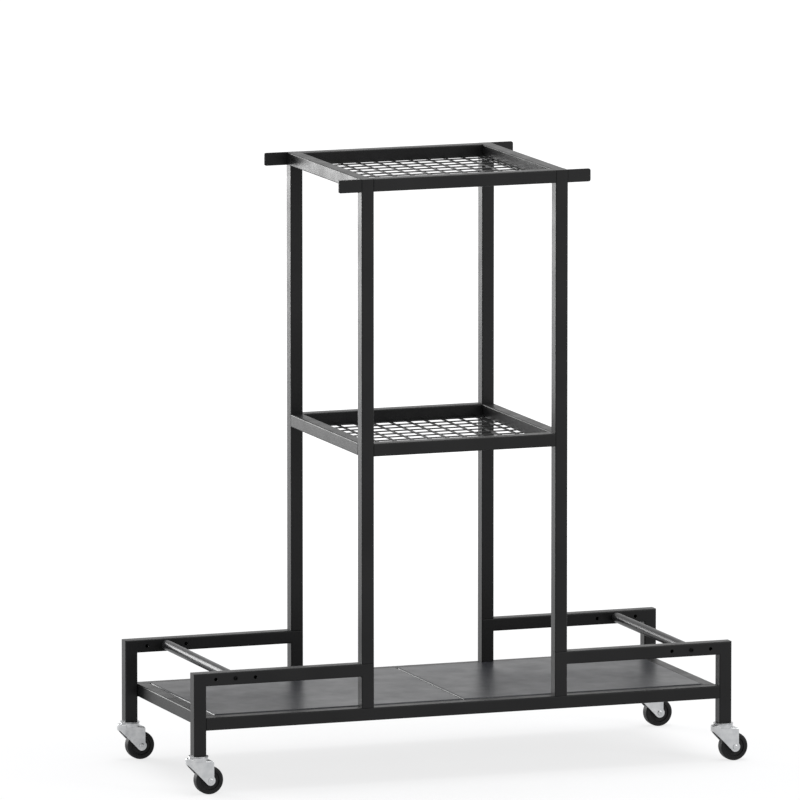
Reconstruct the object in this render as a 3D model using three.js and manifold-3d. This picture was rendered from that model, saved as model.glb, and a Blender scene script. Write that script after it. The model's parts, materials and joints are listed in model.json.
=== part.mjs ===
// Ski storage rack on swivel casters: a welded frame of square tube with a sheet tray for boots,
// two grid shelves, a divider rod across each ski bay and a hook plate at each upper corner.
// Millimetres, +Z up, front towards -Y, standing on Z = 0 under the middle of its outline.
import * as THREE from 'three';
import { mergeVertices } from 'three/addons/utils/BufferGeometryUtils.js';
import Module from 'manifold-3d';

const wasm = await Module();
wasm.setup();

// Frame, over the outer faces of the tubes
const frameWidth = 1100;
const frameDepth = 430;
const uprightSpan = 420;

// Heights of the casters and of the clear spaces between the tubes, from the floor up
const casterHeight = 75;
const footDrop = 49;
const sideRailGap = 61;
const bootBayHeight = 400;
const helmetBayHeight = 485;

// Square tube
const tubeSize = 25;
const tubeWall = 1.5;
const tubeCorner = 2.5;
const boreCornerShare = 0.4;
const spigotLength = 30;

// Gaps at welds, gaps at pieces that plug in or turn, and how far a cut runs past its piece
const weldGap = 0.2;
const fitGap = 0.3;
const overrun = 1;

// Holes in the side rails that let a divider rod be moved
const holeInset = 44;
const holePitch = 40;
const holeBore = 7;
const holeCount = 3;

// Divider rods and their screws
const rodSize = 20;
const rodWall = 2;
const rodPlug = 20;
const rodChamfer = 1;
const screwSize = 5;
const screwDepth = 16;
const screwHeadSize = 8.4;
const screwHeadHeight = 2.6;
const screwHeadChamfer = 1;
const screwSocketSize = 4;
const screwSocketDepth = 1.4;

// Tray: two sheets side by side with their edges bent down, which meet at a place right of the middle
const trayThickness = 1.5;
const trayBend = 4;
const trayFlange = 18;
const trayCorner = 6;
const traySeamPlace = 6.5;
const traySeamGap = 3;

// Grid panels of the shelves, cut out of a wider sheet at their own places in its pattern
const panelThickness = 2;
const gridPitch = 36;
const gridWeb = 5.5;
const gridPlaceShares = { mid_shelf: [-0.28, 0.04], top_shelf: [-0.04, -0.3] };

// Hook plates
const hookLength = 46;
const hookThickness = 4;
const hookCorner = 4;
const hookInset = 0.8;

// Caster head: flange, king pin and the square stem that plugs into the post
const flangeSize = 39;
const flangeThickness = 1.5;
const flangeChamfer = 0.4;
const kingPinSize = 10;
const kingPinHeadSize = 16;
const kingPinHeadHeight = 2.5;
const stemLength = 30;
const stemTaper = 2;

// Caster fork, folded from sheet, with a crown that falls to the rear and carries a round race
const forkSheet = 2.5;
const forkWidth = 30;
const forkFront = 25;
const forkRear = 27;
const forkRearRound = 3;
const crownDrop = 4;
const crownFall = 6;
const raceSize = 37.6;
const raceTaper = 0.6;
const forkSkirt = 12.5;
const forkSkirtRun = 2.5;
const forkTip = 9.5;

// Caster wheel and axle
const trail = 20;
const wheelSize = 55;
const wheelWidth = 22;
const wheelShoulder = 4;
const wheelRimHeight = 7.5;
const wheelDish = 3;
const hubSize = 19;
const axleSize = 8;
const axleHeadSize = 11;
const axleHeadHeight = 2;
const axleHeadChamfer = 0.7;

// Chords in the round shapes
const cornerSteps = 2;
const bendSteps = 3;
const wheelSteps = 20;
const forkSteps = 6;
const roundSteps = 16;
const smallSteps = 10;

// Levels and places that follow from the sizes above
const boreSize = tubeSize - 2 * tubeWall;
const boreCorner = boreCornerShare * tubeCorner;
const plugSize = boreSize - 2 * fitGap;
const plugCorner = boreCorner + fitGap;
const baseLevel = casterHeight + footDrop;
const baseTop = baseLevel + tubeSize;
const sideLevel = baseTop + sideRailGap;
const sideTop = sideLevel + tubeSize;
const midLevel = sideTop + bootBayHeight;
const topLevel = midLevel + tubeSize + helmetBayHeight;
const frameTop = topLevel + tubeSize;
const postX = (frameWidth - tubeSize) / 2;
const postY = (frameDepth - tubeSize) / 2;
const uprightX = (uprightSpan - tubeSize) / 2;
const insideX = frameWidth / 2 - tubeSize;
const insideY = frameDepth / 2 - tubeSize;
const bayX = uprightSpan / 2 - tubeSize;
const wheelRadius = wheelSize / 2;
const flangeLevel = casterHeight - weldGap - flangeThickness;
const raceLevel = flangeLevel - fitGap;
const noseLevel = casterHeight - crownDrop;
const forkHalf = forkWidth / 2;

// Finishes
const finish = (color, roughness, metalness) => () => new THREE.MeshStandardMaterial(
  { color, roughness, metalness });
const framePaint = finish(0x2c2c2d, 0.38, 0.1);
const trayPaint = finish(0x313134, 0.26, 0.1);
const rodPaint = finish(0x5c5d5e, 0.3, 0.3);
const screwBlack = finish(0x121213, 0.5, 0.4);
const zinc = finish(0xc6c8c9, 0.34, 0.85);
const tyre = finish(0x2a2a2b, 0.62, 0);

// Keeps only positions, with shared corners merged, flat slivers dropped and faces pointing out
function solid(source) {
  source.deleteAttribute('normal');
  source.deleteAttribute('uv');
  const geometry = mergeVertices(source, 1e-4);
  const corners = geometry.attributes.position;
  const index = geometry.index.array;
  const [a, b, c] = [new THREE.Vector3(), new THREE.Vector3(), new THREE.Vector3()];
  const kept = [];
  let volume = 0;
  for (let i = 0; i < index.length; i += 3) {
    const [p, q, r] = index.slice(i, i + 3);
    if (p === q || q === r || r === p) continue;
    kept.push(p, q, r);
    a.fromBufferAttribute(corners, p);
    b.fromBufferAttribute(corners, q);
    c.fromBufferAttribute(corners, r);
    volume += a.dot(b.cross(c));
  }
  geometry.setIndex(volume < 0 ? kept.reverse() : kept);
  return geometry;
}

function toManifold(geometry) {
  const clean = solid(geometry);
  return new wasm.Manifold(new wasm.Mesh({
    numProp: 3,
    vertProperties: new Float32Array(clean.attributes.position.array),
    triVerts: new Uint32Array(clean.index.array),
  }));
}

function fromManifold(body) {
  const mesh = body.getMesh();
  const geometry = new THREE.BufferGeometry();
  geometry.setAttribute('position', new THREE.BufferAttribute(mesh.vertProperties, mesh.numProp));
  geometry.setIndex(Array.from(mesh.triVerts));
  return geometry;
}

function cut(base, tools) {
  return fromManifold(tools.reduce((body, tool) => body.subtract(toManifold(tool)), toManifold(base)));
}

// Rectangle with round corners about the origin, as points in a plane
function roundedOutline(width, depth, radius) {
  const points = [];
  for (const [quarter, sx, sy] of [[0, 1, 1], [1, -1, 1], [2, -1, -1], [3, 1, -1]]) {
    for (let i = 0; i <= cornerSteps; i++) {
      const angle = (quarter + i / cornerSteps) * Math.PI / 2;
      points.push(new THREE.Vector2(
        sx * (width / 2 - radius) + radius * Math.cos(angle),
        sy * (depth / 2 - radius) + radius * Math.sin(angle)));
    }
  }
  return points;
}

const squareOutline = (size, radius) => roundedOutline(size, size, radius);
const raise = (outline, heightAt) => outline.map((p) => new THREE.Vector3(p.x, p.y, heightAt(p)));
const level = (outline, height) => raise(outline, () => height);

// Surface through rings of equal length, closed on itself or else with both ends filled
function skin(rings, looped) {
  const count = rings[0].length;
  const index = [];
  const spans = looped ? rings.length : rings.length - 1;
  for (let r = 0; r < spans; r++) {
    const near = r * count;
    const far = ((r + 1) % rings.length) * count;
    for (let i = 0; i < count; i++) {
      const j = (i + 1) % count;
      index.push(near + i, near + j, far + i, near + j, far + j, far + i);
    }
  }
  if (!looped) {
    const last = (rings.length - 1) * count;
    for (let i = 1; i < count - 1; i++) {
      index.push(0, i + 1, i, last, last + i, last + i + 1);
    }
  }
  const geometry = new THREE.BufferGeometry();
  geometry.setAttribute('position', new THREE.Float32BufferAttribute(
    rings.flat().flatMap((p) => [p.x, p.y, p.z]), 3));
  geometry.setIndex(index);
  return geometry;
}

// Square tube along local Z, with an end tilted by its mitre over local X
const tubeOutline = squareOutline(tubeSize, tubeCorner);
const boreOutline = squareOutline(boreSize, boreCorner);
const plugOutline = squareOutline(plugSize, plugCorner);
const sleeveOutline = squareOutline(plugSize - 2 * tubeWall, plugCorner);
function tubeShape(length, startMitre = 0, endMitre = 0) {
  const start = (p) => startMitre * p.x;
  const end = (p) => length + endMitre * p.x;
  return skin([raise(tubeOutline, start), raise(tubeOutline, end),
    raise(boreOutline, end), raise(boreOutline, start)], true);
}

// Tube with its far end closed
function cappedTubeShape(length) {
  return skin([level(boreOutline, length - tubeWall), level(boreOutline, 0),
    level(tubeOutline, 0), level(tubeOutline, length)], false);
}

const rack = new THREE.Group();

// The trailing wheels reach further to the right than the forks reach to the left
rack.position.x = (forkFront - trail - wheelRadius) / 2;

function piece(name, geometry, finishOf, x, y, z, parent = rack) {
  const shape = solid(geometry);
  shape.computeVertexNormals();
  const mesh = new THREE.Mesh(shape, finishOf());
  mesh.name = name;
  mesh.position.set(x, y, z);
  parent.add(mesh);
  return mesh;
}

function alongX(mesh) {
  mesh.rotation.y = Math.PI / 2;
}

function alongY(mesh) {
  mesh.rotation.x = -Math.PI / 2;
}

const corners = [['front_left', -1, -1], ['front_right', 1, -1],
  ['rear_left', -1, 1], ['rear_right', 1, 1]];
const ends = [['front', -1], ['rear', 1]];
const sides = [['left', -1], ['right', 1]];
const holePlaces = Array.from({ length: holeCount },
  (_, i) => frameWidth / 2 - holeInset - i * holePitch);

// Side rail mitred to its two posts, with the row of holes through it and the spigot for the upright
const railMiddle = sideLevel + tubeSize / 2;
const railLength = postX - uprightX;
function sideRailShape(sx) {
  const start = sx < 0 ? -postX : uprightX;
  const holes = holePlaces.map((place) => new THREE.CylinderGeometry(
    holeBore / 2, holeBore / 2, tubeSize + 2 * overrun, smallSteps).translate(0, 0, sx * place - start));
  const sleeve = skin([level(plugOutline, -overrun), level(plugOutline, spigotLength),
    level(sleeveOutline, spigotLength), level(sleeveOutline, -overrun)], true);
  sleeve.translate(0, 0, tubeSize / 2).rotateY(-Math.PI / 2).translate(0, 0, sx * uprightX - start);
  const rail = toManifold(tubeShape(railLength, 1, -1)).add(toManifold(sleeve));
  return cut(fromManifold(rail), holes);
}

// The four feet of the frame, each an arch of an outer and an inner post, and the uprights
const postLength = railMiddle - weldGap - casterHeight;
const innerLength = railMiddle - baseTop - 2 * weldGap;
for (const [tag, sx, sy] of corners) {
  const y = sy * postY;
  const start = sx < 0 ? -postX : uprightX;
  piece(`corner_post_${tag}`, tubeShape(postLength, 0, sx), framePaint, sx * postX, y, casterHeight);
  alongX(piece(`side_rail_${tag}`, sideRailShape(sx), framePaint, start, y, railMiddle));
  piece(`inner_post_${tag}`, tubeShape(innerLength, 0, -sx), framePaint,
    sx * uprightX, y, baseTop + weldGap);
  piece(`upright_${tag}`, cappedTubeShape(frameTop - sideTop - weldGap), framePaint,
    sx * uprightX, y, sideTop + weldGap);
}

// Base frame: long rails between the corner posts, and a rail at either end between the long rails
const longRail = insideX - weldGap;
const crossRail = insideY - weldGap;
const baseMiddle = baseLevel + tubeSize / 2;
for (const [tag, sy] of ends) {
  alongX(piece(`base_rail_${tag}`, tubeShape(2 * longRail), framePaint, -longRail, sy * postY, baseMiddle));
}
for (const [tag, sx] of sides) {
  const x = sx * (insideX - tubeSize / 2);
  alongY(piece(`end_rail_${tag}`, tubeShape(2 * crossRail), framePaint, x, -crossRail, baseMiddle));
}

// Tray sheet with a rounded bend into a flange all round
function trayShape(width) {
  const depth = 2 * (insideY - fitGap);
  const rim = (inset, height) => level(roundedOutline(
    width - 2 * inset, depth - 2 * inset, Math.max(trayCorner - inset, trayThickness)), height);
  const bend = (radius) => Array.from({ length: bendSteps + 1 }, (_, i) => {
    const angle = (i / bendSteps) * Math.PI / 2;
    return rim(trayBend - radius * Math.sin(angle), trayThickness - trayBend + radius * Math.cos(angle));
  });
  const outside = bend(trayBend);
  const inside = bend(trayBend - trayThickness).toReversed();
  const foot = trayThickness - trayFlange;
  return skin([...outside, rim(0, foot), rim(trayThickness, foot), ...inside], false);
}
for (const [tag, sx] of sides) {
  const outer = sx * (insideX - tubeSize - fitGap);
  const inner = traySeamPlace + sx * traySeamGap / 2;
  const tray = trayShape(Math.abs(outer - inner));
  piece(`tray_${tag}`, tray, trayPaint, (outer + inner) / 2, 0, baseTop + weldGap);
}

// Sheet with square holes that fills the opening of a shelf, its outer cells cut through
function gridShape([shareX, shareY]) {
  const width = 2 * (bayX - weldGap);
  const depth = 2 * (insideY - weldGap);
  const columns = Math.ceil(width / gridPitch / 2) + 1;
  const rows = Math.ceil(depth / gridPitch / 2) + 1;
  const cell = gridPitch - gridWeb;
  const cells = [];
  for (let i = -columns; i < columns; i++) {
    for (let j = -rows; j < rows; j++) {
      cells.push(new THREE.BoxGeometry(cell, cell, panelThickness + 2 * overrun).translate(
        (i + 1 / 2 + shareX) * gridPitch, (j + 1 / 2 + shareY) * gridPitch, 0));
    }
  }
  return cut(new THREE.BoxGeometry(width, depth, panelThickness), cells);
}

// Shelves: four tubes between the uprights, with the grid level with their undersides
for (const [shelf, z] of [['mid_shelf', midLevel], ['top_shelf', topLevel]]) {
  const rail = bayX - weldGap;
  const middle = z + tubeSize / 2;
  for (const [tag, sy] of ends) {
    alongX(piece(`${shelf}_${tag}`, tubeShape(2 * rail), framePaint, -rail, sy * postY, middle));
  }
  for (const [tag, sx] of sides) {
    alongY(piece(`${shelf}_${tag}`, tubeShape(2 * crossRail), framePaint,
      sx * uprightX, -crossRail, middle));
  }
  const grid = gridShape(gridPlaceShares[shelf]);
  piece(`${shelf}_grid`, grid, framePaint, 0, 0, z + panelThickness / 2);
}

// Hook plates, on edge at the outer sides of the uprights and as tall as the upper shelf
function hookShape(sx) {
  const tall = tubeSize / 2;
  const end = hookLength - hookCorner;
  const outline = new THREE.Shape();
  outline.moveTo(0, -tall);
  outline.lineTo(end, -tall);
  outline.absarc(end, hookCorner - tall, hookCorner, -Math.PI / 2, 0, false);
  outline.absarc(end, tall - hookCorner, hookCorner, 0, Math.PI / 2, false);
  outline.lineTo(0, tall);
  const plate = new THREE.ExtrudeGeometry(outline, {
    depth: hookThickness, bevelEnabled: false, curveSegments: bendSteps });
  plate.translate(0, 0, -hookThickness / 2).rotateX(Math.PI / 2);
  return sx < 0 ? plate.rotateZ(Math.PI) : plate;
}
for (const [tag, sx, sy] of corners) {
  const y = sy * (frameDepth / 2 - hookInset - hookThickness / 2);
  const x = sx * (uprightSpan / 2 + weldGap);
  piece(`hook_plate_${tag}`, hookShape(sx), framePaint, x, y, frameTop - tubeSize / 2);
}

// Revolved shape from points of radius and distance along local Y, which start and end on the axis
const turned = (points, steps) => new THREE.LatheGeometry(
  points.map(([radius, y]) => new THREE.Vector2(radius, y)), steps);
const mirrored = (points) => [...points, ...points.toReversed().map(([radius, y]) => [radius, -y])];

// Tube with a threaded plug in either end
const rodHalf = insideY - weldGap;
function rodShape() {
  const radius = rodSize / 2;
  const bore = screwSize / 2 + fitGap;
  const inside = radius - rodWall;
  const half = [[inside, rodPlug - rodHalf], [bore, rodPlug - rodHalf], [bore, -rodHalf],
    [radius - rodChamfer, -rodHalf], [radius, rodChamfer - rodHalf]];
  return turned([...mirrored(half), half[0]], roundSteps);
}

// Screw through both walls of a side rail into the rod, with a low socket head outside
function screwShape(sy) {
  const shank = screwSize / 2;
  const head = screwHeadSize / 2;
  const socket = screwSocketSize / 2;
  const tip = rodHalf - screwDepth;
  const seat = frameDepth / 2 + weldGap;
  const top = seat + screwHeadHeight;
  const screw = turned([[0, tip], [shank, tip], [shank, seat], [head, seat],
    [head, top - screwHeadChamfer], [head - screwHeadChamfer, top], [socket, top],
    [socket, top - screwSocketDepth], [0, top - screwSocketDepth]], smallSteps);
  return sy < 0 ? screw.rotateX(Math.PI) : screw;
}
for (const [side, sx] of sides) {
  const x = sx * holePlaces[Math.floor(holeCount / 2)];
  piece(`divider_rod_${side}`, rodShape(), rodPaint, x, 0, railMiddle);
  for (const [tag, sy] of ends) {
    piece(`rod_screw_${tag}_${side}`, screwShape(sy), screwBlack, x, 0, railMiddle);
  }
}

// Height of the fork's sloping crown at a place along it
function crownAt(x) {
  return noseLevel - crownFall * (x + forkFront) / (forkFront + forkRear);
}

// Caster head: king pin with its lower head, flange and square stem in one
function casterHeadShape() {
  const flange = flangeSize / 2;
  const pin = kingPinSize / 2;
  const pinHead = kingPinHeadSize / 2;
  const pinSeat = crownAt(pinHead) - forkSheet - fitGap;
  const top = casterHeight - weldGap;
  const body = turned([[0, pinSeat - kingPinHeadHeight], [pinHead, pinSeat - kingPinHeadHeight],
    [pinHead, pinSeat], [pin, pinSeat], [pin, flangeLevel], [flange - flangeChamfer, flangeLevel],
    [flange, flangeLevel + flangeChamfer], [flange, top - flangeChamfer],
    [flange - flangeChamfer, top], [0, top]], roundSteps);
  const narrow = squareOutline(plugSize - 2 * stemTaper, plugCorner);
  const stemTop = casterHeight + stemLength;
  const stem = skin([level(plugOutline, casterHeight - overrun), level(plugOutline, stemTop - stemTaper),
    level(narrow, stemTop)], false);
  return fromManifold(toManifold(body.rotateX(Math.PI / 2)).add(toManifold(stem)));
}

// Plan of the fork: straight cheeks joined by a half round in front, open behind
function forkPlan(inset, rear) {
  const radius = forkHalf - inset;
  const plan = new THREE.Shape();
  plan.moveTo(rear, -radius);
  plan.lineTo(rear, radius);
  plan.absarc(forkHalf - forkFront, 0, radius, Math.PI / 2, Math.PI * 3 / 2, false);
  return plan;
}

// Side of the fork: a short skirt in front, cheeks sloping back to a round tip about the axle
function forkSide() {
  const skirt = new THREE.Vector2(forkSkirtRun - forkFront, noseLevel - forkSkirt);
  const toAxle = new THREE.Vector2(trail, wheelRadius).sub(skirt);
  const slope = toAxle.angle() - Math.asin(forkTip / toAxle.length());
  const upper = Math.acos((forkRear - trail) / forkTip);
  const fall = Math.atan2(crownFall, forkFront + forkRear);
  const round = forkRear - forkRearRound;
  const roundLevel = crownAt(round) - forkRearRound / Math.cos(fall);
  const side = new THREE.Shape();
  side.moveTo(-forkFront - overrun, crownAt(-forkFront - overrun));
  side.lineTo(-forkFront - overrun, skirt.y);
  side.lineTo(skirt.x, skirt.y);
  side.absarc(trail, wheelRadius, forkTip, slope - Math.PI / 2, upper, false);
  side.absarc(round, roundLevel, forkRearRound, 0, Math.PI / 2 - fall, false);
  return side;
}

// Side of the space between the cheeks, under the crown
function hollowSide(rear) {
  const side = new THREE.Shape();
  side.moveTo(-forkFront, -overrun);
  side.lineTo(rear, -overrun);
  side.lineTo(rear, crownAt(rear) - forkSheet);
  side.lineTo(-forkFront, noseLevel - forkSheet);
  return side;
}

function forkShape() {
  const tall = { depth: casterHeight, bevelEnabled: false, curveSegments: forkSteps };
  const across = forkWidth + 2 * overrun;
  const rear = trail + forkTip + overrun;
  const upright = (plan) => toManifold(new THREE.ExtrudeGeometry(plan, tall));
  const sideways = (side) => toManifold(new THREE.ExtrudeGeometry(side, { ...tall, depth: across })
    .rotateX(Math.PI / 2).translate(0, across / 2, 0));
  const outer = upright(forkPlan(0, rear)).intersect(sideways(forkSide()));
  const hollow = upright(forkPlan(forkSheet, rear + overrun))
    .intersect(sideways(hollowSide(rear + overrun)));
  const race = raceSize / 2;
  const raceFoot = crownAt(race) - forkSheet / 2;
  const boss = turned([[0, raceFoot], [race - raceTaper, raceFoot], [race, raceLevel],
    [0, raceLevel]], roundSteps).rotateX(Math.PI / 2);
  const pinBore = kingPinSize / 2 + fitGap;
  const axleBore = axleSize / 2 + fitGap;
  const pinHole = new THREE.CylinderGeometry(pinBore, pinBore, casterHeight, roundSteps);
  pinHole.rotateX(Math.PI / 2).translate(0, 0, casterHeight);
  const axleHole = new THREE.CylinderGeometry(axleBore, axleBore, across, smallSteps);
  axleHole.translate(trail, 0, wheelRadius);
  const folded = outer.add(toManifold(boss)).subtract(hollow);
  return cut(fromManifold(folded), [pinHole, axleHole]);
}

// Wheel with dished sides, round shoulders and a hub, turned so that a flat of its rim is lowest
function wheelShape() {
  const tread = wheelWidth / 2;
  const hub = forkHalf - forkSheet - fitGap;
  const rim = wheelRadius - wheelRimHeight;
  const shoulder = Array.from({ length: cornerSteps + 1 }, (_, i) => {
    const angle = (i / cornerSteps) * Math.PI / 2;
    return [wheelRadius - wheelShoulder * (1 - Math.sin(angle)),
      wheelShoulder * (1 - Math.cos(angle)) - tread];
  });
  const bore = axleSize / 2 + fitGap;
  const half = [[bore, -hub], [hubSize / 2, -hub], [hubSize / 2, wheelDish - tread],
    [rim - wheelDish, wheelDish - tread], [rim, -tread], ...shoulder];
  const cornerOut = 1 / Math.cos(Math.PI / wheelSteps);
  const profile = [...mirrored(half), half[0]].map(([radius, y]) => [radius * cornerOut, y]);
  return turned(profile, wheelSteps).rotateY(Math.PI / wheelSteps);
}

// Axle rivet with a head outside either cheek
function axleShape() {
  const head = axleHeadSize / 2;
  const seat = forkHalf + weldGap;
  const end = seat + axleHeadHeight;
  return turned(mirrored([[0, -end], [head - axleHeadChamfer, -end], [head, axleHeadChamfer - end],
    [head, -seat], [axleSize / 2, -seat]]), smallSteps);
}

// Casters under the corner posts, all trailing to the right
for (const [tag, sx, sy] of corners) {
  const caster = new THREE.Group();
  caster.position.set(sx * postX, sy * postY, 0);
  rack.add(caster);
  piece(`caster_head_${tag}`, casterHeadShape(), zinc, 0, 0, 0, caster);
  piece(`caster_fork_${tag}`, forkShape(), zinc, 0, 0, 0, caster);
  piece(`caster_wheel_${tag}`, wheelShape(), tyre, trail, 0, wheelRadius, caster);
  piece(`caster_axle_${tag}`, axleShape(), zinc, trail, 0, wheelRadius, caster);
}

export default rack;
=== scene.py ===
"""A ski storage rack on casters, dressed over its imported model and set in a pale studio."""
import json
import math

import bmesh
import bpy
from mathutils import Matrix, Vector

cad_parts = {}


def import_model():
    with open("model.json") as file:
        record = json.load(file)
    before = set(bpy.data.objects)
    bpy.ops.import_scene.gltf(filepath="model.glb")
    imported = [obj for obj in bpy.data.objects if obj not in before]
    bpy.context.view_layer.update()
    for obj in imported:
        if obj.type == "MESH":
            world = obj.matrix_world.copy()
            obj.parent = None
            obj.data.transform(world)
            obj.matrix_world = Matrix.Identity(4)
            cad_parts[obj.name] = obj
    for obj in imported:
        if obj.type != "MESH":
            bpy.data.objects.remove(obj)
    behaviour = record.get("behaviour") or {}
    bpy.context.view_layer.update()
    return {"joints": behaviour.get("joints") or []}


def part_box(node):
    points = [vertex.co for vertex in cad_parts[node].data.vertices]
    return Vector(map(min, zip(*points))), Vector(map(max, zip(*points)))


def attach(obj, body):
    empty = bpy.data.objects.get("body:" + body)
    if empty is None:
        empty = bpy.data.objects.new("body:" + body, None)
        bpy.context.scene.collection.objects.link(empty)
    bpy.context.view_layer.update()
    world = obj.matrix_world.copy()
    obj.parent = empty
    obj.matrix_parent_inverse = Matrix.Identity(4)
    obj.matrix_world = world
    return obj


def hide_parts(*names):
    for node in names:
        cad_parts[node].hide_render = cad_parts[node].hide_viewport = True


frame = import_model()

MM = 0.001

# Sections read from the frame
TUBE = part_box("base_rail_front")[1].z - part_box("base_rail_front")[0].z
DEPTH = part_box("base_rail_rear")[1].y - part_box("base_rail_front")[0].y
JOINTS = {joint["name"]: Vector(joint["pos_m"]) for joint in frame["joints"]}
CORNERS = (("front_left", -1, -1), ("front_right", 1, -1), ("rear_left", -1, 1), ("rear_right", 1, 1))
ENDS = (("front", -1), ("rear", 1))
SIDES = (("left", -1), ("right", 1))

# Fine sizes of the dressed pieces
TUBE_WALL = 1.5 * MM
TUBE_CORNER = 2.5 * MM
CORNER_STEPS = 6
WELD_REACH = 0.3 * MM
EDGE_ROUND = 0.35 * MM
ROUND_STEPS = 64
SHARP_ANGLE = 32.0
MERGE_DISTANCE = 1e-7

# Camera as fitted to the photograph
CAMERA_AZIMUTH = math.radians(-20.01)
CAMERA_ELEVATION = math.radians(8.61)
CAMERA_DISTANCE = 25.07
CAMERA_TARGET = Vector((-143.75, -214.5, 741.8)) * MM
CAMERA_SENSOR = 36.0
CAMERA_LENS = 590.9
CAMERA_CLIP = (0.1, 200.0)


# Meshes

def finish_mesh(obj, surface, body, nodes):
    """Shades a piece smooth with crisp corners, gives it its finish and sets it on its body."""
    mesh = obj.data
    mesh.polygons.foreach_set("use_smooth", [True] * len(mesh.polygons))
    mesh.set_sharp_from_angle(angle=math.radians(SHARP_ANGLE))
    weighted = obj.modifiers.new("weighted_normals", "WEIGHTED_NORMAL")
    weighted.keep_sharp = True
    mesh.materials.clear()
    mesh.materials.append(surface)
    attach(obj, body)
    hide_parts(*nodes)


def raw_object(name, verts, faces):
    """Links a mesh object with merged corners and faces pointing out."""
    mesh = bpy.data.meshes.new(name)
    mesh.from_pydata([tuple(v) for v in verts], [], faces)
    bm = bmesh.new()
    bm.from_mesh(mesh)
    bmesh.ops.remove_doubles(bm, verts=bm.verts, dist=MERGE_DISTANCE)
    bmesh.ops.recalc_face_normals(bm, faces=bm.faces)
    bm.to_mesh(mesh)
    bm.free()
    obj = bpy.data.objects.new(name, mesh)
    bpy.context.scene.collection.objects.link(obj)
    return obj


def bevel(obj, width, segments=2, angle=40.0):
    """Rounds the sharp edges of an object's own mesh."""
    bm = bmesh.new()
    bm.from_mesh(obj.data)
    edges = [e for e in bm.edges if e.is_manifold and e.calc_face_angle(0.0) > math.radians(angle)]
    bmesh.ops.bevel(bm, geom=edges, offset=width, segments=segments, profile=0.5,
                    affect="EDGES", clamp_overlap=True)
    bm.to_mesh(obj.data)
    bm.free()


def boolean(obj, cutters, operation="DIFFERENCE"):
    """Cuts or intersects an object's mesh with others, which are then removed."""
    for cutter in cutters:
        modifier = obj.modifiers.new("cut", "BOOLEAN")
        modifier.operation = operation
        modifier.solver = "EXACT"
        modifier.object = cutter
    depsgraph = bpy.context.evaluated_depsgraph_get()
    made = bpy.data.meshes.new_from_object(obj.evaluated_get(depsgraph))
    obj.modifiers.clear()
    obj.data = made
    for cutter in cutters:
        bpy.data.objects.remove(cutter)


def loft(rings, looped=False):
    """Corners and faces of a skin through rings of equal length, closed on itself or capped."""
    count = len(rings[0])
    verts = [point for ring in rings for point in ring]
    spans = len(rings) if looped else len(rings) - 1
    faces = []
    for r in range(spans):
        near, far = r * count, (r + 1) % len(rings) * count
        for i in range(count):
            j = (i + 1) % count
            faces.append((near + i, near + j, far + j, far + i))
    if not looped:
        last = (len(rings) - 1) * count
        faces.append(tuple(range(count - 1, -1, -1)))
        faces.append(tuple(last + i for i in range(count)))
    return verts, faces


def rounded(width, depth, radius, steps=CORNER_STEPS):
    """Points of a rectangle with round corners about the origin."""
    points = []
    for quarter, (sx, sy) in enumerate(((1, 1), (-1, 1), (-1, -1), (1, -1))):
        for i in range(steps + 1):
            angle = (quarter + i / steps) * math.pi / 2
            points.append((sx * (width / 2 - radius) + radius * math.cos(angle),
                           sy * (depth / 2 - radius) + radius * math.sin(angle)))
    return points


def lathe(profile, centre, axis="Z", steps=ROUND_STEPS, closed=False):
    """Skin of a profile of radius and height turned about an axis through a point."""
    verts, faces = [], []
    for radius, height in profile:
        for i in range(steps):
            angle = 2 * math.pi * i / steps
            a, b = radius * math.cos(angle), radius * math.sin(angle)
            local = (a, height, b) if axis == "Y" else (a, b, height)
            verts.append(Vector(local) + centre)
    spans = len(profile) if closed else len(profile) - 1
    for r in range(spans):
        near, far = r * steps, (r + 1) % len(profile) * steps
        for i in range(steps):
            j = (i + 1) % steps
            faces.append((near + i, near + j, far + j, far + i))
    if not closed:
        last = (len(profile) - 1) * steps
        faces.append(tuple(range(steps)))
        faces.append(tuple(last + i for i in range(steps)))
    return verts, faces


def arc(centre, radius, start, end, steps):
    """Points of an arc in a plane, with its angles in degrees."""
    angles = [math.radians(start + (end - start) * i / steps) for i in range(steps + 1)]
    return [(centre[0] + radius * math.cos(a), centre[1] + radius * math.sin(a)) for a in angles]


def both_sides(half):
    """Closed profile of a half and its mirror image across the middle plane."""
    return half + [(r, -y) for r, y in reversed(half)]


# Finishes

NOISE_SPAN = (0.3, 0.7)
BLEND_SPAN = (0.32, 0.68)


def noise(tree, scale, detail, stretch=(1.0, 1.0, 1.0)):
    """A noise texture in the frame's own metres."""
    coordinates = tree.nodes.new("ShaderNodeTexCoord")
    mapping = tree.nodes.new("ShaderNodeMapping")
    mapping.inputs["Scale"].default_value = stretch
    texture = tree.nodes.new("ShaderNodeTexNoise")
    texture.inputs["Scale"].default_value = scale
    texture.inputs["Detail"].default_value = detail
    tree.links.new(coordinates.outputs["Object"], mapping.inputs["Vector"])
    tree.links.new(mapping.outputs["Vector"], texture.inputs["Vector"])
    return texture.outputs["Fac"]


def spread(tree, value, low, high):
    """Maps a noise value to a range."""
    node = tree.nodes.new("ShaderNodeMapRange")
    node.inputs["From Min"].default_value, node.inputs["From Max"].default_value = NOISE_SPAN
    node.inputs["To Min"].default_value = low
    node.inputs["To Max"].default_value = high
    tree.links.new(value, node.inputs["Value"])
    return node.outputs["Result"]


def blend_colours(tree, value, dark, light):
    """Colour between two by a noise value."""
    ramp = tree.nodes.new("ShaderNodeValToRGB")
    for element, position, colour in zip(ramp.color_ramp.elements, BLEND_SPAN, (dark, light)):
        element.position = position
        element.color = (*colour, 1.0)
    tree.links.new(value, ramp.inputs["Fac"])
    return ramp.outputs["Color"]


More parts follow.
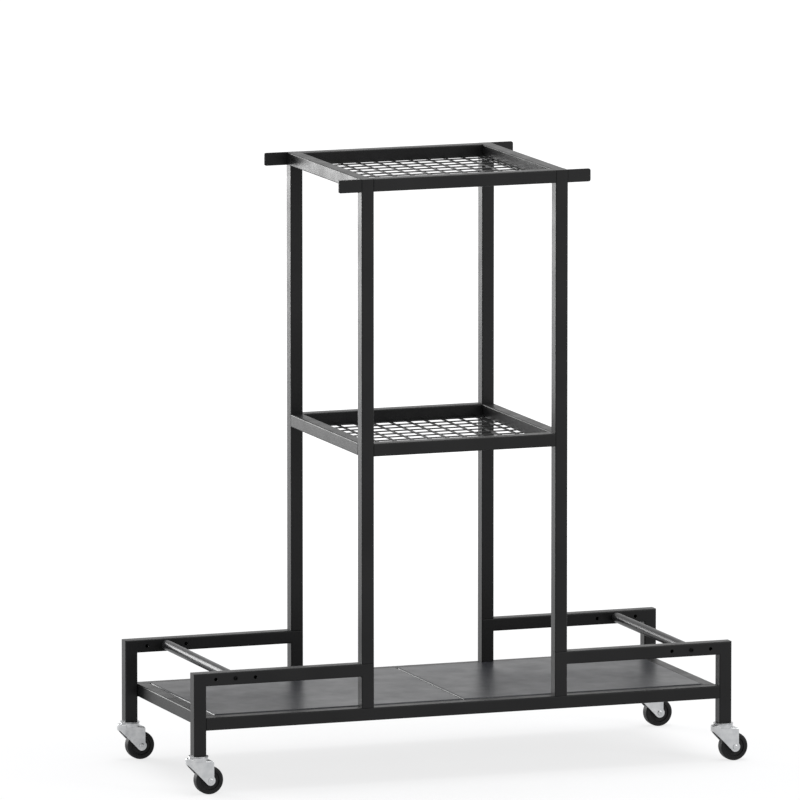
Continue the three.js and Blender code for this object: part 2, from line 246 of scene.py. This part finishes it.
def bumps(tree, shader, layers):
    """Chains bump nodes, each a height, a distance in metres and a strength."""
    previous = None
    for height, distance, strength in layers:
        node = tree.nodes.new("ShaderNodeBump")
        node.inputs["Distance"].default_value = distance
        node.inputs["Strength"].default_value = strength
        tree.links.new(height, node.inputs["Height"])
        if previous is not None:
            tree.links.new(previous, node.inputs["Normal"])
        previous = node.outputs["Normal"]
    tree.links.new(previous, shader.inputs["Normal"])


def finish(name, cloud, colours, gloss, rough, relief, constants):
    """Material with clouded colour, uneven gloss and fine relief.

    cloud and gloss are a noise's scale, detail and stretch. relief is rows of such a noise, a distance
    in metres and a strength. constants are set on the shader's own sockets.
    """
    made = bpy.data.materials.new(name)
    made.use_nodes = True
    tree = made.node_tree
    shader = next(node for node in tree.nodes if node.type == "BSDF_PRINCIPLED")
    tree.links.new(blend_colours(tree, noise(tree, *cloud), *colours), shader.inputs["Base Color"])
    tree.links.new(spread(tree, noise(tree, *gloss), *rough), shader.inputs["Roughness"])
    bumps(tree, shader, [(noise(tree, *grain), distance, strength) for grain, distance, strength in relief])
    for socket, value in constants.items():
        shader.inputs[socket].default_value = value
    return made


def powder_coat(name, colours, rough, ior, peel):
    """Powder coat with fine orange peel and a faint unevenness of colour and gloss."""
    return finish(name, cloud=(9.0, 4.0), colours=colours, gloss=(23.0, 5.0), rough=rough,
                  relief=[((60.0, 2.0), 0.02 * MM, 0.35), ((900.0, 2.0), peel, 0.4)],
                  constants={"IOR": ior})


FRAME_PAINT = powder_coat("frame_paint", colours=((0.0055, 0.0055, 0.0057), (0.0085, 0.0085, 0.0088)),
                          rough=(0.33, 0.42), ior=1.27, peel=0.003 * MM)
TRAY_PAINT = powder_coat("tray_paint", colours=((0.020, 0.021, 0.024), (0.027, 0.028, 0.032)),
                         rough=(0.30, 0.38), ior=1.32, peel=0.006 * MM)
# Smooth grey coat on the divider rods, with faint drawing marks along them
ROD_PAINT = finish("rod_paint", cloud=(40.0, 4.0), colours=((0.018, 0.018, 0.019), (0.028, 0.028, 0.029)),
                   gloss=(90.0, 4.0, (1.0, 0.1, 1.0)), rough=(0.24, 0.32),
                   relief=[((700.0, 2.0, (1.0, 0.05, 1.0)), 0.01 * MM, 0.3)], constants={"IOR": 1.21})
# Bright zinc on pressed steel, with faint rolling marks and cloudy gloss
ZINC = finish("zinc", cloud=(70.0, 5.0), colours=((0.42, 0.43, 0.44), (0.54, 0.545, 0.55)),
              gloss=(160.0, 4.0, (1.0, 1.0, 0.2)), rough=(0.28, 0.42),
              relief=[((1400.0, 3.0, (0.3, 0.3, 1.0)), 0.02 * MM, 0.4)], constants={"Metallic": 0.85})
# Dark moulded rubber, slightly dusty
TYRE = finish("caster_tyre", cloud=(120.0, 5.0), colours=((0.006, 0.006, 0.0063), (0.011, 0.011, 0.0114)),
              gloss=(260.0, 4.0), rough=(0.5, 0.68),
              relief=[((1500.0, 3.0), 0.02 * MM, 0.5)], constants={"IOR": 1.28})
# Black oxide on machined screws
SCREW_BLACK = finish("screw_black", cloud=(500.0, 4.0),
                     colours=((0.002, 0.002, 0.002), (0.004, 0.004, 0.004)),
                     gloss=(900.0, 3.0), rough=(0.5, 0.65),
                     relief=[((3000.0, 2.0), 0.02 * MM, 0.4)], constants={"IOR": 1.15})


# Square tubes

AXES = {"x": (0, 1, 2), "y": (1, 2, 0), "z": (2, 0, 1)}
SQUARE_ENDS = ("u", 0.0, 0.0)


def tube_point(axis, along, u, v):
    """Point at a distance along an axis and at u, v on the two axes after it."""
    point = [0.0, 0.0, 0.0]
    for index, value in zip(AXES[axis], (along, u, v)):
        point[index] = value
    return Vector(point)


def square_tube(name, axis, start, end, centre, tilt=SQUARE_ENDS, hollow=False):
    """Tube between two places on an axis. tilt gives the slopes of its ends over u or v."""
    u0, v0 = centre
    over, start_slope, end_slope = tilt

    def ring(size, radius, place, slope):
        points = []
        for u, v in rounded(size, size, radius):
            points.append(tube_point(axis, place + slope * (u if over == "u" else v), u0 + u, v0 + v))
        return points

    rings = [ring(TUBE, TUBE_CORNER, start, start_slope), ring(TUBE, TUBE_CORNER, end, end_slope)]
    if hollow:
        bore, radius = TUBE - 2 * TUBE_WALL, TUBE_CORNER - TUBE_WALL
        rings += [ring(bore, radius, end, end_slope), ring(bore, radius, start, start_slope)]
    return raw_object(name, *loft(rings, looped=hollow))


def middle(node, axis):
    """Centre of a node across an axis, as its u and v."""
    low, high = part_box(node)
    _, u, v = AXES[axis]
    return (low[u] + high[u]) / 2, (low[v] + high[v]) / 2


def span(node, axis):
    """Ends of a node along an axis."""
    low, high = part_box(node)
    return low[AXES[axis][0]], high[AXES[axis][0]]


def butt_tube(node, axis):
    """Tube welded between two others, which it reaches into by a hair."""
    start, end = span(node, axis)
    obj = square_tube(node + "_tube", axis, start - WELD_REACH, end + WELD_REACH, middle(node, axis))
    finish_mesh(obj, FRAME_PAINT, "frame", [node])


for tag, _ in ENDS:
    butt_tube(f"base_rail_{tag}", "x")
for tag, _ in SIDES:
    butt_tube(f"end_rail_{tag}", "y")
for shelf in ("mid_shelf", "top_shelf"):
    for tag, _ in ENDS:
        butt_tube(f"{shelf}_{tag}", "x")
    for tag, _ in SIDES:
        butt_tube(f"{shelf}_{tag}", "y")


# Feet: two posts and a side rail mitred into an arch, with the row of holes, under an upright

SIDE_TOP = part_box("side_rail_front_left")[0].z + TUBE
SIDE_MIDDLE = SIDE_TOP - TUBE / 2
HOLE_RADIUS = 3.5 * MM
HOLE_PITCH = 40 * MM
HOLE_COUNT = 3
HOLE_STEPS = 32
ROD_HOLE = 1
CAP_ROUND = 1.0 * MM
CAP_STEPS = 4
CAP_CORNER = 0.5 * TUBE_CORNER
UPRIGHT_FOOT_INSET = 0.3 * MM
ROD_X = {tag: sum(span(f"divider_rod_{tag}", "x")) / 2 for tag, _ in SIDES}


def hole_cutter(x, y, z, length):
    """Drill through both walls of a side rail."""
    profile = [(HOLE_RADIUS, -length / 2), (HOLE_RADIUS, length / 2)]
    return raw_object("drill", *lathe(profile, Vector((x, y, z)), "Y", steps=HOLE_STEPS))


def foot(tag, sx):
    """Corner post, inner post and side rail of one corner."""
    post, rail, inner = f"corner_post_{tag}", f"side_rail_{tag}", f"inner_post_{tag}"
    side = "left" if sx < 0 else "right"
    y = middle(post, "z")[1]
    post_x, inner_x = middle(post, "z")[0], middle(inner, "z")[0]
    obj = square_tube(post + "_tube", "z", span(post, "z")[0], SIDE_MIDDLE, (post_x, y),
                      ("u", 0.0, sx), hollow=True)
    finish_mesh(obj, FRAME_PAINT, "frame", [post])
    obj = square_tube(inner + "_tube", "z", span(inner, "z")[0] - WELD_REACH, SIDE_MIDDLE, (inner_x, y),
                      ("u", 0.0, -sx), hollow=True)
    finish_mesh(obj, FRAME_PAINT, "frame", [inner])
    start, end = sorted((post_x, inner_x))
    obj = square_tube(rail + "_tube", "x", start, end, (y, SIDE_MIDDLE), ("v", -1.0, 1.0), hollow=True)
    outward = [ROD_X[side] + sx * HOLE_PITCH * (ROD_HOLE - i) for i in range(HOLE_COUNT)]
    boolean(obj, [hole_cutter(x, y, SIDE_MIDDLE, 2 * TUBE) for x in outward])
    finish_mesh(obj, FRAME_PAINT, "frame", [rail])


def upright(tag):
    """Upright closed by a cap with softened edges."""
    node = f"upright_{tag}"
    bottom, top = span(node, "z")
    u0, v0 = middle(node, "z")

    def ring(inset, z):
        size, radius = TUBE - 2 * inset, max(TUBE_CORNER - inset, CAP_CORNER)
        return [Vector((u0 + u, v0 + v, z)) for u, v in rounded(size, size, radius)]

    rings = [ring(UPRIGHT_FOOT_INSET, bottom - WELD_REACH), ring(0.0, bottom + WELD_REACH)]
    for x, z in arc((CAP_ROUND, top - CAP_ROUND), CAP_ROUND, 180, 90, CAP_STEPS):
        rings.append(ring(x, z))
    obj = raw_object(node + "_tube", *loft(rings))
    finish_mesh(obj, FRAME_PAINT, "frame", [node])


for tag, sx, _ in CORNERS:
    foot(tag, sx)
    upright(tag)


# Tray: two sheets with their edges rolled down inside the rails

TRAY_THICKNESS = 1.5 * MM
TRAY_BEND = 4.0 * MM
TRAY_CORNER = 5.0 * MM
TRAY_LEAST_CORNER = 1.0 * MM
TRAY_CORNER_STEPS = 4
TRAY_BEND_STEPS = 8
TRAY_INNER_STEPS = 6


def tray(side):
    """Sheet with its bent-down edge, open below."""
    node = f"tray_{side}"
    low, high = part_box(node)
    centre = (low + high) / 2

    def ring(inset, z):
        width, depth = high.x - low.x - 2 * inset, high.y - low.y - 2 * inset
        radius = max(TRAY_CORNER - inset, TRAY_LEAST_CORNER)
        return [Vector((centre.x + x, centre.y + y, z))
                for x, y in rounded(width, depth, radius, TRAY_CORNER_STEPS)]

    bend = (TRAY_BEND, high.z - TRAY_BEND)
    rings = [ring(x, z) for x, z in arc(bend, TRAY_BEND, 90, 180, TRAY_BEND_STEPS)]
    rings += [ring(0.0, low.z), ring(TRAY_THICKNESS, low.z)]
    inner = TRAY_BEND - TRAY_THICKNESS
    rings += [ring(x, z) for x, z in arc(bend, inner, 180, 90, TRAY_INNER_STEPS)]
    obj = raw_object(node + "_sheet", *loft(rings))
    finish_mesh(obj, TRAY_PAINT, "frame", [node])


for side, _ in SIDES:
    tray(side)


# Shelf grids: a sheet with square holes punched through it

GRID_PITCH = 36 * MM
GRID_WEB = 5.5 * MM
GRID_EDGE = 0.25 * MM
GRID_EDGE_ANGLE = 60.0
GRID_PLACE_SHARES = {"mid_shelf_grid": (-0.28, 0.04), "top_shelf_grid": (-0.04, -0.3)}


def lines(low, high, share):
    """Borders between webs and holes across a sheet, and whether each strip has holes."""
    origin = (low + high) / 2 + share * GRID_PITCH
    count = math.ceil((high - low) / GRID_PITCH / 2) + 1
    webs = [origin + i * GRID_PITCH for i in range(-count, count + 1)]
    borders = [web + side * GRID_WEB / 2 for web in webs for side in (-1, 1)]
    places = [low] + [place for place in borders if low < place < high] + [high]
    strips = [(a + b) / 2 for a, b in zip(places, places[1:])]
    return places, [min(abs(strip - web) for web in webs) > GRID_WEB / 2 for strip in strips]


def grid(node):
    """Sheet whose pattern of square holes is cut off where the shelf's tubes begin."""
    low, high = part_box(node)
    share_x, share_y = GRID_PLACE_SHARES[node]
    xs, open_x = lines(low.x - WELD_REACH, high.x + WELD_REACH, share_x)
    ys, open_y = lines(low.y - WELD_REACH, high.y + WELD_REACH, share_y)
    bm = bmesh.new()
    layers = [[[bm.verts.new((x, y, z)) for y in ys] for x in xs] for z in (low.z, high.z)]
    under, upper = layers

    def solid(i, j):
        inside = 0 <= i < len(open_x) and 0 <= j < len(open_y)
        return inside and not (open_x[i] and open_y[j])

    for i in range(len(open_x)):
        for j in range(len(open_y)):
            if not solid(i, j):
                continue
            corners = [(i, j), (i + 1, j), (i + 1, j + 1), (i, j + 1)]
            bm.faces.new([upper[a][b] for a, b in corners])
            bm.faces.new([under[a][b] for a, b in reversed(corners)])
            beyond = [(i, j - 1), (i + 1, j), (i, j + 1), (i - 1, j)]
            for k, (a, b) in enumerate(beyond):
                if not solid(a, b):
                    (p, q), (r, s) = corners[k], corners[(k + 1) % 4]
                    bm.faces.new([under[p][q], under[r][s], upper[r][s], upper[p][q]])
    bmesh.ops.delete(bm, geom=[v for v in bm.verts if not v.link_faces], context="VERTS")
    mesh = bpy.data.meshes.new(node + "_sheet")
    bm.to_mesh(mesh)
    bm.free()
    obj = bpy.data.objects.new(node + "_sheet", mesh)
    bpy.context.scene.collection.objects.link(obj)
    bevel(obj, GRID_EDGE, segments=1, angle=GRID_EDGE_ANGLE)
    finish_mesh(obj, FRAME_PAINT, "frame", [node])


for shelf in ("mid_shelf", "top_shelf"):
    grid(f"{shelf}_grid")


# Hook plates

HOOK_CORNER = 4.0 * MM
HOOK_STEPS = 8


def hook_plate(tag, sx):
    """Plate with its two outer corners rounded."""
    node = f"hook_plate_{tag}"
    low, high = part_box(node)
    tall = (high.z - low.z) / 2
    root, tip = (high.x, low.x) if sx < 0 else (low.x, high.x)
    reach = abs(tip - root)
    outline = [(-WELD_REACH, -tall)]
    outline += arc((reach - HOOK_CORNER, HOOK_CORNER - tall), HOOK_CORNER, -90, 0, HOOK_STEPS)
    outline += arc((reach - HOOK_CORNER, tall - HOOK_CORNER), HOOK_CORNER, 0, 90, HOOK_STEPS)
    outline += [(-WELD_REACH, tall)]
    rings = [[Vector((root + sx * x, y, (low.z + high.z) / 2 + z)) for x, z in outline]
             for y in (low.y, high.y)]
    obj = raw_object(node + "_plate", *loft(rings))
    bevel(obj, EDGE_ROUND)
    finish_mesh(obj, FRAME_PAINT, "frame", [node])


for tag, sx, _ in CORNERS:
    hook_plate(tag, sx)


# Divider rods and their screws

ROD_CHAMFER = 0.6 * MM
SCREW_SHANK = 2.5 * MM
SCREW_STEPS = 48
SCREW_SOCKET = 2.6 * MM
SCREW_SOCKET_SHARE = 1.3
SCREW_SOCKET_DEPTH = 1.6 * MM
SCREW_DOME = 1.1 * MM
SCREW_DOME_ANGLES = (30, 60, 90)


def divider_rod(side):
    """Round rod with chamfered ends, reaching its two side rails by a hair."""
    node = f"divider_rod_{side}"
    low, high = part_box(node)
    radius = (high.x - low.x) / 2
    profile = [(radius - ROD_CHAMFER, low.y - WELD_REACH), (radius, low.y + ROD_CHAMFER),
               (radius, high.y - ROD_CHAMFER), (radius - ROD_CHAMFER, high.y + WELD_REACH)]
    centre = Vector(((low.x + high.x) / 2, 0.0, (low.z + high.z) / 2))
    obj = raw_object(node + "_bar", *lathe(profile, centre, "Y"))
    finish_mesh(obj, ROD_PAINT, "frame", [node])


def rod_screw(side, end, sy):
    """Low-headed screw with a hexagon socket, seen outside the rail."""
    node = f"rod_screw_{end}_{side}"
    low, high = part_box(node)
    radius = (high.x - low.x) / 2
    top = high.y if sy > 0 else -low.y
    seat = DEPTH / 2
    profile = [(SCREW_SHANK, seat - 2 * TUBE_WALL), (SCREW_SHANK, seat), (radius, seat),
               (radius, top - SCREW_DOME)]
    profile += [(radius - SCREW_DOME * (1 - math.cos(math.radians(a))),
                 top - SCREW_DOME * (1 - math.sin(math.radians(a)))) for a in SCREW_DOME_ANGLES]
    centre = Vector(((low.x + high.x) / 2, 0.0, (low.z + high.z) / 2))
    verts, faces = lathe([(r, sy * y) for r, y in profile], centre, "Y", steps=SCREW_STEPS)
    obj = raw_object(node + "_head", verts, faces)
    reach = SCREW_SOCKET / math.sqrt(3) * SCREW_SOCKET_SHARE
    socket = [[Vector((centre.x + reach * math.cos(a), sy * y, centre.z + reach * math.sin(a)))
               for a in (math.radians(60 * k) for k in range(6))]
              for y in (top - SCREW_SOCKET_DEPTH, top + SCREW_SOCKET_DEPTH)]
    boolean(obj, [raw_object("socket", *loft(socket))])
    finish_mesh(obj, SCREW_BLACK, "frame", [node])


for side, _ in SIDES:
    divider_rod(side)
    for end, sy in ENDS:
        rod_screw(side, end, sy)


# Casters

FORK_SHEET = 2.5 * MM
FORK_HALF = 15.0 * MM
FORK_BEND = 2.6 * MM
FORK_INNER_BEND = 0.6 * MM
FORK_NOSE_DROP = 4.0 * MM
FORK_CROWN_FALL = 6.0 * MM
FORK_SKIRT = 12.5 * MM
FORK_SKIRT_RUN = 2.5 * MM
FORK_TIP = 9.5 * MM
FORK_REAR_ROUND = 5.0 * MM
FORK_TIP_FLARE = 2.5 * MM
FORK_BEVEL_ANGLE = 50.0
FORK_NOSE_STEPS = 32
FORK_BEND_STEPS = 6
FORK_TIP_STEPS = 24
FORK_REAR_STEPS = 10
# How far the pieces that cut the fork to shape reach beyond it
CUT_PAST = 5 * MM
CUT_REAR = 2 * MM
CUT_CLEAR = 1 * MM

RACE_FOOT = 7.2 * MM
RACE_ROUND = 1.0 * MM
RACE_TAPER = 0.5 * MM
RACE_SINK = 2.9 * MM
RACE_BORE = 5.3 * MM
RACE_FOOT_STEPS = 4
RACE_TOP_STEPS = 5

FLANGE_POST_GAP = 0.2 * MM
FLANGE_RACE_GAP = 0.3 * MM
FLANGE_STEPS = 8
STEM_CENTRE = 1 * MM
STEM_RADIUS = 9 * MM
STEM_RISE = 2 * MM
PIN_RADIUS = 5 * MM
# Radius and height over the lowest point, in mm, of the king pin's riveted end
PIN_END = ((5, 2.5), (8, 2.5), (8, 1.4), (6.6, 0.5), (4, 0), (1, 0))

WHEEL_STEPS = 96
WHEEL_BORE = 4.3 * MM
WHEEL_HUB = 9.5 * MM
WHEEL_TREAD_HALF = 11 * MM
WHEEL_DISC_SINK = 3 * MM
WHEEL_DISC_DROP = 9 * MM
WHEEL_LIP = 1.2 * MM
WHEEL_LIP_DROP = 7.5 * MM
WHEEL_LIP_STEPS = 4
WHEEL_SHOULDER = 4.2 * MM
WHEEL_SHOULDER_END = 20
WHEEL_SHOULDER_STEPS = 8
WHEEL_CROWN_SINK = 6.5 * MM
# Drop from the tread and depth, in mm, of the groove round each side of the tyre
WHEEL_GROOVE = ((6.2, 0), (6.0, 0.35), (5.6, 0.35), (5.4, 0))

RIVET_STEPS = 48
RIVET_SHANK = 4 * MM
RIVET_SEAT_SINK = 0.1 * MM
# Radius and depth of the dimple, then inset and depth of the dome, in mm, of a rivet head
RIVET_DIMPLE = ((1.2, 0.5), (1.8, 0))
RIVET_DOME = ((2.2, 0), (1.0, 0.4), (0.25, 1.1))


def caster_fork(tag):
    """Fork folded from sheet, with a sloping crown, and the race pressed up from it."""
    node, body = f"caster_fork_{tag}", f"swivel_{tag}"
    low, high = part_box(node)
    pin, axle = JOINTS[f"caster_swivel_{tag}"], JOINTS[f"wheel_spin_{tag}"]
    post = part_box(f"corner_post_{tag}")[0].z
    rear_edge = high.x - FORK_TIP_FLARE
    rear, bottom = high.x + CUT_REAR, low.z - CUT_PAST
    fall = FORK_CROWN_FALL / (rear_edge - low.x)

    def crown(x):
        return post - FORK_NOSE_DROP - fall * (x - low.x)

    def block(name, inset, bend, rear, bottom):
        """Solid under the crown, set in from it by an inset all round."""
        def plan(inset):
            radius = FORK_HALF - inset
            points = [(rear, pin.y - radius), (rear, pin.y + radius)]
            return points + arc((low.x + FORK_HALF, pin.y), radius, 90, 270, FORK_NOSE_STEPS)

        rings = [[Vector((x, y, bottom)) for x, y in plan(inset)]]
        for dx, dz in arc((bend, -bend), bend, 180, 90, FORK_BEND_STEPS):
            rings.append([Vector((x, y, crown(x) - inset + dz)) for x, y in plan(inset + dx)])
        return raw_object(name, *loft(rings))

    shell = block(node + "_shell", 0.0, FORK_BEND, rear, bottom)
    hollow = block("hollow", FORK_SHEET, FORK_INNER_BEND, rear + CUT_PAST, bottom - CUT_PAST)
    skirt = Vector((low.x + FORK_SKIRT_RUN, post - FORK_NOSE_DROP - FORK_SKIRT))
    to_axle = Vector((axle.x, axle.z)) - skirt
    slope = math.atan2(to_axle.y, to_axle.x) - math.asin(FORK_TIP / to_axle.length)
    upper = math.acos((rear_edge - axle.x) / FORK_TIP)
    corner = rear_edge - FORK_REAR_ROUND
    front, inward = low.x - CUT_PAST, corner - CUT_PAST
    side = [(front, crown(front) + CUT_CLEAR), (front, skirt.y), (skirt.x, skirt.y)]
    side += arc((axle.x, axle.z), FORK_TIP, math.degrees(slope) - 90, math.degrees(upper), FORK_TIP_STEPS)
    side += arc((corner, crown(corner) - FORK_REAR_ROUND), FORK_REAR_ROUND, 0, 90 - math.degrees(fall),
                FORK_REAR_STEPS)
    side += [(inward, crown(inward) + CUT_CLEAR)]
    ends = (pin.y - FORK_HALF - CUT_PAST, pin.y + FORK_HALF + CUT_PAST)
    cheeks = raw_object("cheeks", *loft([[Vector((x, y, z)) for x, z in side] for y in ends]))
    boolean(shell, [hollow])
    boolean(shell, [cheeks], "INTERSECT")
    bevel(shell, EDGE_ROUND, angle=FORK_BEVEL_ANGLE)
    finish_mesh(shell, ZINC, body, [node])
    radius, foot_level = (high.y - low.y) / 2, post - RACE_FOOT - RACE_SINK
    flat = radius - RACE_TAPER - RACE_ROUND
    race = [(RACE_BORE, foot_level), (flat, foot_level)]
    race += arc((flat, foot_level + RACE_ROUND), RACE_ROUND, -90, 0, RACE_FOOT_STEPS)
    race += arc((radius - RACE_ROUND, high.z - RACE_ROUND), RACE_ROUND, 0, 90, RACE_TOP_STEPS)
    race += [(RACE_BORE, high.z)]
    ring = raw_object(node + "_race", *lathe(race, Vector((pin.x, pin.y, 0.0)), closed=True))
    finish_mesh(ring, ZINC, body, [node])


def caster_head(tag):
    """Flange of the stem over the race, and the king pin with its riveted end under the crown."""
    node = f"caster_head_{tag}"
    pin = JOINTS[f"caster_swivel_{tag}"]
    low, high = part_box(node)
    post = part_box(f"corner_post_{tag}")[0].z
    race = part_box(f"caster_fork_{tag}")[1].z
    radius, top, under = (high.x - low.x) / 2, post - FLANGE_POST_GAP, race + FLANGE_RACE_GAP
    edge = (top - under) / 2
    flange = [(STEM_CENTRE, top + STEM_RISE), (STEM_RADIUS, top + STEM_RISE), (STEM_RADIUS, top)]
    flange += arc((radius - edge, top - edge), edge, 90, -90, FLANGE_STEPS)
    flange += [(PIN_RADIUS, under)] + [(r * MM, low.z + z * MM) for r, z in PIN_END]
    obj = raw_object(node + "_flange", *lathe(flange, Vector((pin.x, pin.y, 0.0))))
    finish_mesh(obj, ZINC, "frame", [node])


def caster_wheel(tag):
    """Tyre and hub turned as one, with a sunken disc and a groove on either side."""
    node = f"caster_wheel_{tag}"
    low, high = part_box(node)
    axle = JOINTS[f"wheel_spin_{tag}"]
    radius, hub, tread = axle.z, (high.y - low.y) / 2, WHEEL_TREAD_HALF
    disc = tread - WHEEL_DISC_SINK
    half = [(WHEEL_BORE, hub), (WHEEL_HUB, hub), (WHEEL_HUB, disc), (radius - WHEEL_DISC_DROP, disc)]
    half += arc((radius - WHEEL_LIP_DROP, tread - WHEEL_LIP), WHEEL_LIP, 180, 90, WHEEL_LIP_STEPS)
    half += [(radius - drop * MM, tread - depth * MM) for drop, depth in WHEEL_GROOVE]
    half += arc((radius - WHEEL_SHOULDER, tread - WHEEL_SHOULDER), WHEEL_SHOULDER, 90, WHEEL_SHOULDER_END,
                WHEEL_SHOULDER_STEPS)
    half += [(radius, tread - WHEEL_CROWN_SINK)]
    skin = lathe(both_sides(half), axle, "Y", steps=WHEEL_STEPS, closed=True)
    finish_mesh(raw_object(node + "_tyre", *skin), TYRE, f"wheel_{tag}", [node])


def caster_axle(tag):
    """Rivet with a domed head outside either cheek."""
    node = f"caster_axle_{tag}"
    low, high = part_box(node)
    axle = JOINTS[f"wheel_spin_{tag}"]
    radius, end = (high.x - low.x) / 2, (high.y - low.y) / 2
    half = [(r * MM, end - depth * MM) for r, depth in RIVET_DIMPLE]
    half += [(radius - inset * MM, end - depth * MM) for inset, depth in RIVET_DOME]
    half += [(radius, FORK_HALF), (RIVET_SHANK, FORK_HALF - RIVET_SEAT_SINK)]
    skin = lathe(both_sides(half), axle, "Y", steps=RIVET_STEPS)
    finish_mesh(raw_object(node + "_rivet", *skin), ZINC, f"swivel_{tag}", [node])


for tag, _, _ in CORNERS:
    caster_fork(tag)
    caster_head(tag)
    caster_wheel(tag)
    caster_axle(tag)


# Studio

FLOOR_SIZE = 80.0
FLOOR_COLOUR = (0.2, 0.2, 0.203, 1.0)
# The floor glows up to white between these distances from the rack, in metres
FLOOR_FADE = (0.8, 3.5)
FLOOR_GLOW = (0.76, 1.0)
SKY_COLOUR = (1.0, 1.0, 1.0, 1.0)
FILL_COLOUR = (0.97, 0.98, 1.0, 1.0)
FILL_STRENGTH = 0.55
# Name, place, target, size in metres and power in watts
LAMPS = (("overhead", (0.4, 0.2, 4.2), (0.0, 0.0, 0.5), 3.0, 120.0),
         ("left_rear", (-3.0, 5.2, 1.4), (0.0, 0.0, 0.5), 2.6, 230.0),
         ("right_front", (3.4, -4.4, 2.4), (0.0, 0.0, 0.7), 2.0, 90.0))


def floor():
    """Pale floor that takes the rack's shadow and fades into the white background."""
    half = FLOOR_SIZE / 2
    obj = raw_object("floor", [Vector((x, y, 0.0)) for x, y in (
        (-half, -half), (half, -half), (half, half), (-half, half))], [(0, 1, 2, 3)])
    made = bpy.data.materials.new("floor")
    made.use_nodes = True
    tree = made.node_tree
    tree.nodes.clear()
    output = tree.nodes.new("ShaderNodeOutputMaterial")
    diffuse = tree.nodes.new("ShaderNodeBsdfDiffuse")
    diffuse.inputs["Color"].default_value = FLOOR_COLOUR
    glow = tree.nodes.new("ShaderNodeEmission")
    coordinates = tree.nodes.new("ShaderNodeTexCoord")
    reach = tree.nodes.new("ShaderNodeVectorMath")
    reach.operation = "LENGTH"
    fade = tree.nodes.new("ShaderNodeMapRange")
    fade.interpolation_type = "SMOOTHSTEP"
    fade.inputs["From Min"].default_value, fade.inputs["From Max"].default_value = FLOOR_FADE
    fade.inputs["To Min"].default_value, fade.inputs["To Max"].default_value = FLOOR_GLOW
    tree.links.new(coordinates.outputs["Object"], reach.inputs[0])
    tree.links.new(reach.outputs["Value"], fade.inputs["Value"])
    tree.links.new(fade.outputs["Result"], glow.inputs["Strength"])
    both = tree.nodes.new("ShaderNodeAddShader")
    tree.links.new(diffuse.outputs[0], both.inputs[0])
    tree.links.new(glow.outputs[0], both.inputs[1])
    tree.links.new(both.outputs[0], output.inputs["Surface"])
    obj.data.materials.append(made)


def world():
    """White where the camera, reflections or glass see it, and a softer fill as light."""
    made = bpy.data.worlds.new("studio")
    bpy.context.scene.world = made
    made.use_nodes = True
    tree = made.node_tree
    tree.nodes.clear()
    output = tree.nodes.new("ShaderNodeOutputWorld")
    path = tree.nodes.new("ShaderNodeLightPath")
    seen = tree.nodes.new("ShaderNodeBackground")
    seen.inputs["Color"].default_value = SKY_COLOUR
    lit = tree.nodes.new("ShaderNodeBackground")
    lit.inputs["Color"].default_value = FILL_COLOUR
    lit.inputs["Strength"].default_value = FILL_STRENGTH
    either = tree.nodes.new("ShaderNodeMath")
    either.operation = "MAXIMUM"
    any_seen = tree.nodes.new("ShaderNodeMath")
    any_seen.operation = "MAXIMUM"
    mix = tree.nodes.new("ShaderNodeMixShader")
    tree.links.new(path.outputs["Is Camera Ray"], either.inputs[0])
    tree.links.new(path.outputs["Is Glossy Ray"], either.inputs[1])
    tree.links.new(either.outputs[0], any_seen.inputs[0])
    tree.links.new(path.outputs["Is Transmission Ray"], any_seen.inputs[1])
    tree.links.new(any_seen.outputs[0], mix.inputs["Fac"])
    tree.links.new(lit.outputs[0], mix.inputs[1])
    tree.links.new(seen.outputs[0], mix.inputs[2])
    tree.links.new(mix.outputs[0], output.inputs["Surface"])


def softbox(name, place, target, size, power):
    """Square area lamp aimed at a point."""
    lamp = bpy.data.lights.new(name, "AREA")
    lamp.shape = "SQUARE"
    lamp.size = size
    lamp.energy = power
    obj = bpy.data.objects.new(name, lamp)
    obj.location = place
    obj.rotation_mode = "QUATERNION"
    obj.rotation_quaternion = (Vector(target) - Vector(place)).to_track_quat("-Z", "Y")
    bpy.context.scene.collection.objects.link(obj)
    obj.visible_camera = False


def camera():
    """Long lens at the photograph's viewing angle."""
    data = bpy.data.cameras.new("camera")
    data.sensor_width = CAMERA_SENSOR
    data.lens = CAMERA_LENS
    data.clip_start, data.clip_end = CAMERA_CLIP
    back = Vector((math.sin(CAMERA_AZIMUTH) * math.cos(CAMERA_ELEVATION),
                   -math.cos(CAMERA_AZIMUTH) * math.cos(CAMERA_ELEVATION), math.sin(CAMERA_ELEVATION)))
    obj = bpy.data.objects.new("camera", data)
    obj.location = CAMERA_TARGET + back * CAMERA_DISTANCE
    obj.rotation_mode = "QUATERNION"
    obj.rotation_quaternion = (-back).to_track_quat("-Z", "Y")
    bpy.context.scene.collection.objects.link(obj)
    bpy.context.scene.camera = obj


floor()
world()
for lamp in LAMPS:
    softbox(*lamp)
camera()
bpy.context.scene.view_settings.view_transform = "Standard"
